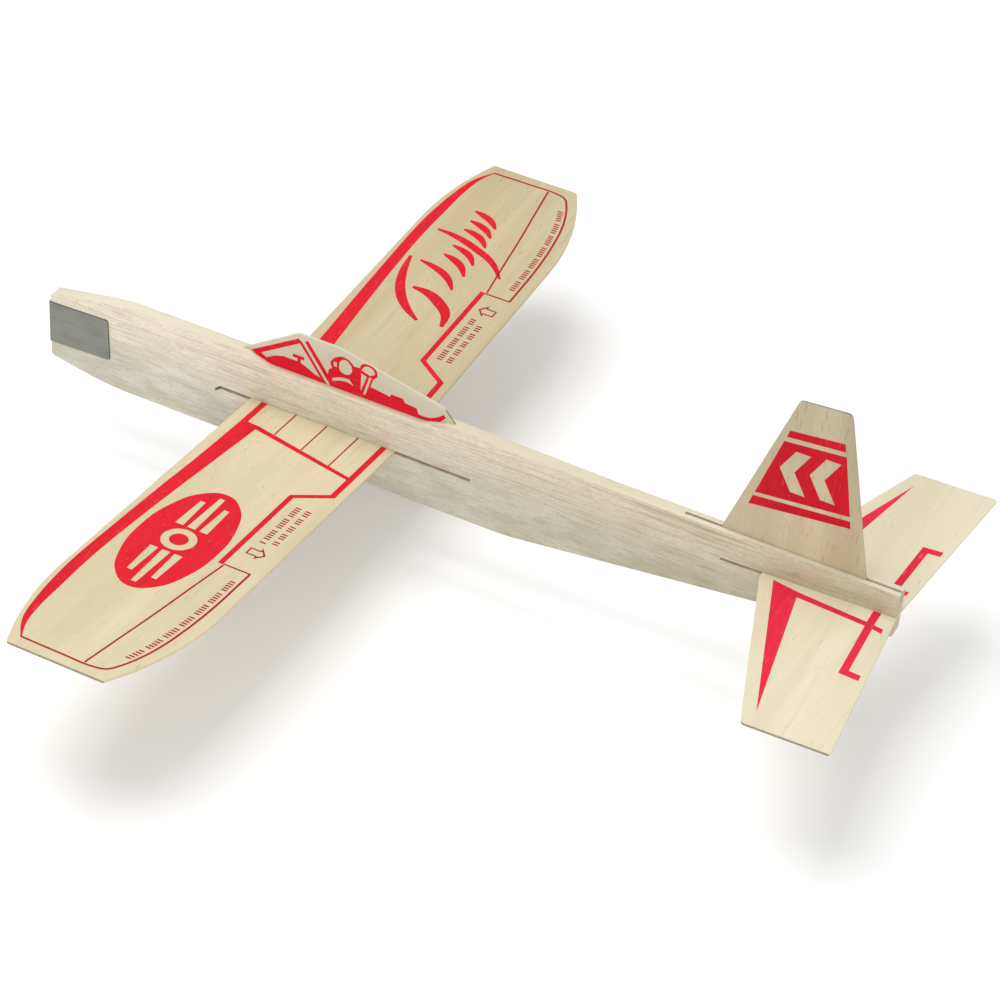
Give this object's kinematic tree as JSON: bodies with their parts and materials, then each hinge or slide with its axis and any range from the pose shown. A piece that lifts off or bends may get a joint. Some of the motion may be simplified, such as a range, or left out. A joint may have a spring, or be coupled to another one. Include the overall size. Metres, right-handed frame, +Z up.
{
  "type": "balsa hand glider",
  "caption": "Slot-together hand-launched glider of sheet wood: profile fuselage with folded metal nose weight, sliding wing, tailplane, fin and canopy.",
  "frame": {"origin": "on the ground under the middle of the overall length, in the fuselage's mid plane", "axes": "+X towards the nose, +Y towards the left (port) wing tip, +Z up, square to the flat belly"},
  "size_m": [0.3095, 0.3048, 0.0895],
  "materials": {
    "board_balsa": "raw sawn balsa, matt",
    "printed_balsa": "raw balsa sheet with red printed marks, matt",
    "weight_steel": "dull rolled steel strip"
  },
  "bodies": {
    "fuselage": {"fuselage": "board_balsa", "nose_weight": "weight_steel"},
    "wing": {"wing": "printed_balsa"},
    "tailplane": {"tailplane": "printed_balsa"},
    "fin": {"fin": "printed_balsa"},
    "canopy": {"canopy": "printed_balsa"}
  },
  "joints": [
    {"name": "wing_slide", "type": "slide", "parent": "fuselage", "child": "wing", "axis": [1, 0, 0], "range_m": [-0.027, 0.0114]},
    {"name": "tailplane_slide", "type": "slide", "parent": "fuselage", "child": "tailplane", "axis": [0.9996, 0, -0.0297], "range_m": [-0.0445, 0.0138]},
    {"name": "fin_slide", "type": "slide", "parent": "fuselage", "child": "fin", "axis": [1, 0, 0], "range_m": [-0.06, 0.012]},
    {"name": "canopy_lift", "type": "slide", "parent": "fuselage", "child": "canopy", "axis": [0, 0, 1], "range_m": [0, 0.006]}
  ]
}
